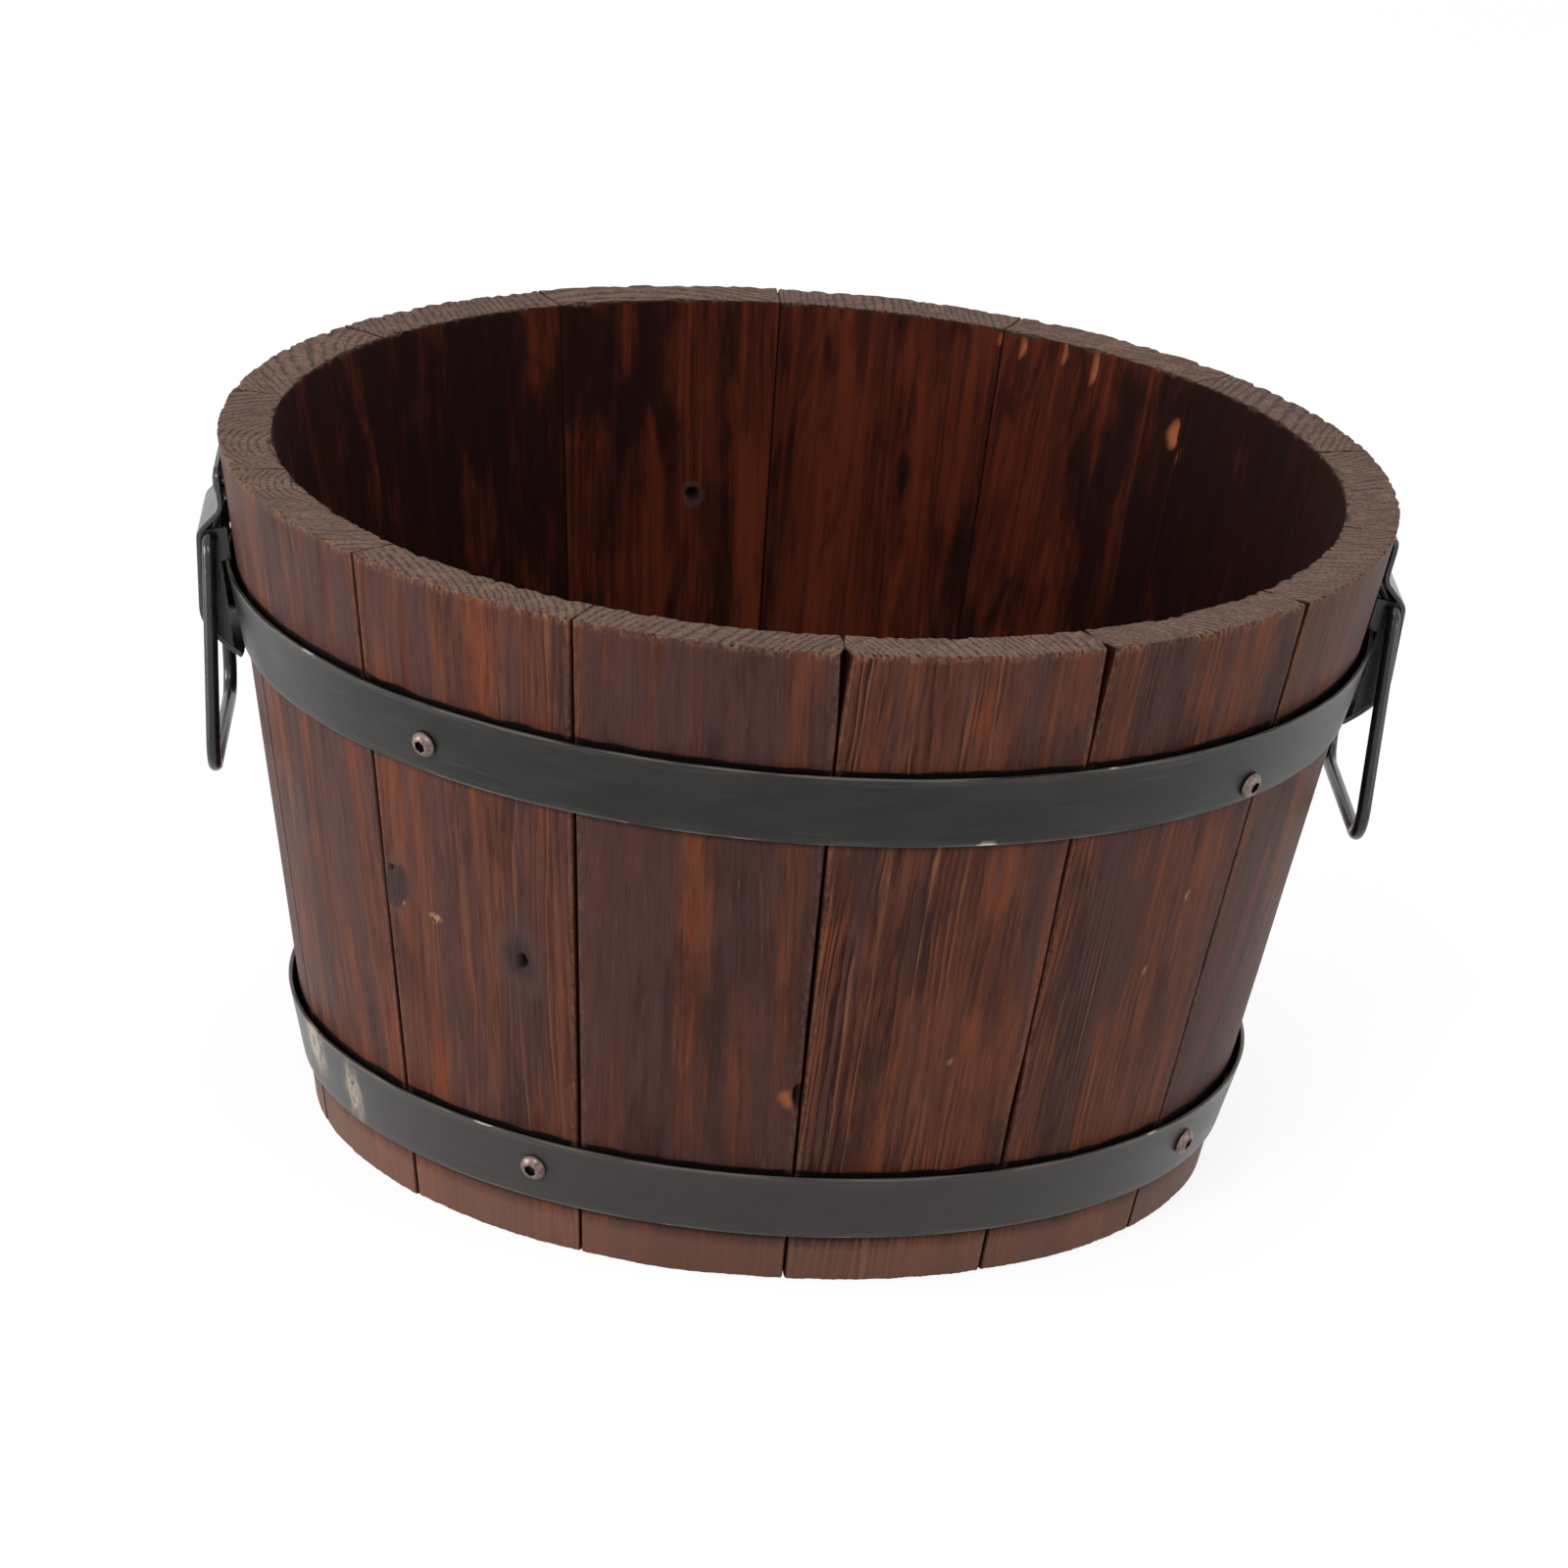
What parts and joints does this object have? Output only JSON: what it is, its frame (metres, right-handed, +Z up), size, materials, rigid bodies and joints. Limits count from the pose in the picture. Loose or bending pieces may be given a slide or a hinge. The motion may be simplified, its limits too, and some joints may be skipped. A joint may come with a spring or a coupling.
{
  "type": "wooden barrel planter",
  "caption": "Tapered round planter tub of upright stained wooden staves bound by flat steel hoops, with a boarded base and swinging steel drop handles at opposite sides.",
  "frame": {"origin": "centre of the footprint on the ground", "axes": "+Z up, +X from the left handle to the right handle, +Y away from the pictured front"},
  "size_m": [0.4298, 0.4192, 0.247],
  "materials": {
    "stained_wood": "dark reddish-brown scorched and stained softwood, open grain, worn edges",
    "base_wood": "dark stained softwood, rough sawn",
    "hoop_steel": "satin blackened steel strip with small nicks and scuffs",
    "handle_steel": "near-black satin painted steel",
    "screw_steel": "dulled coppery-grey steel"
  },
  "bodies": {
    "tub": {"stave_01": "stained_wood", "stave_02": "stained_wood", "stave_03": "stained_wood", "stave_04": "stained_wood", "stave_05": "stained_wood", "stave_06": "stained_wood", "stave_07": "stained_wood", "stave_08": "stained_wood", "stave_09": "stained_wood", "stave_10": "stained_wood", "stave_11": "stained_wood", "stave_12": "stained_wood", "stave_13": "stained_wood", "stave_14": "stained_wood", "base_board_1": "base_wood", "base_board_2": "base_wood", "base_board_3": "base_wood", "base_board_4": "base_wood", "base_board_5": "base_wood", "base_batten_1": "base_wood", "base_batten_2": "base_wood", "base_screw_1": "screw_steel", "base_screw_2": "screw_steel", "base_screw_3": "screw_steel", "base_screw_4": "screw_steel", "base_screw_5": "screw_steel", "base_screw_6": "screw_steel", "base_screw_7": "screw_steel", "base_screw_8": "screw_steel", "base_screw_9": "screw_steel", "base_screw_10": "screw_steel", "upper_hoop": "hoop_steel", "upper_hoop_screw_1": "screw_steel", "upper_hoop_screw_2": "screw_steel", "upper_hoop_screw_3": "screw_steel", "upper_hoop_screw_4": "screw_steel", "upper_hoop_rivet_1": "hoop_steel", "upper_hoop_rivet_2": "hoop_steel", "lower_hoop": "hoop_steel", "lower_hoop_screw_1": "screw_steel", "lower_hoop_screw_2": "screw_steel", "lower_hoop_screw_3": "screw_steel", "lower_hoop_screw_4": "screw_steel", "lower_hoop_rivet_1": "hoop_steel", "lower_hoop_rivet_2": "hoop_steel", "right_handle_saddle": "handle_steel", "right_handle_screw_1": "handle_steel", "right_handle_screw_2": "handle_steel", "left_handle_saddle": "handle_steel", "left_handle_screw_1": "handle_steel", "left_handle_screw_2": "handle_steel"},
    "right_bail": {"right_handle_bail": "handle_steel"},
    "left_bail": {"left_handle_bail": "handle_steel"}
  },
  "joints": [
    {"name": "right_bail_swing", "type": "hinge", "parent": "tub", "child": "right_bail", "pos_m": [0.20911, 0.00803, 0.209], "axis": [0.0384, -0.9993, 0], "range_deg": [-8, 183]},
    {"name": "left_bail_swing", "type": "hinge", "parent": "tub", "child": "left_bail", "pos_m": [-0.20911, 0.00803, 0.209], "axis": [0.0384, 0.9993, 0], "range_deg": [-8, 183]}
  ]
}
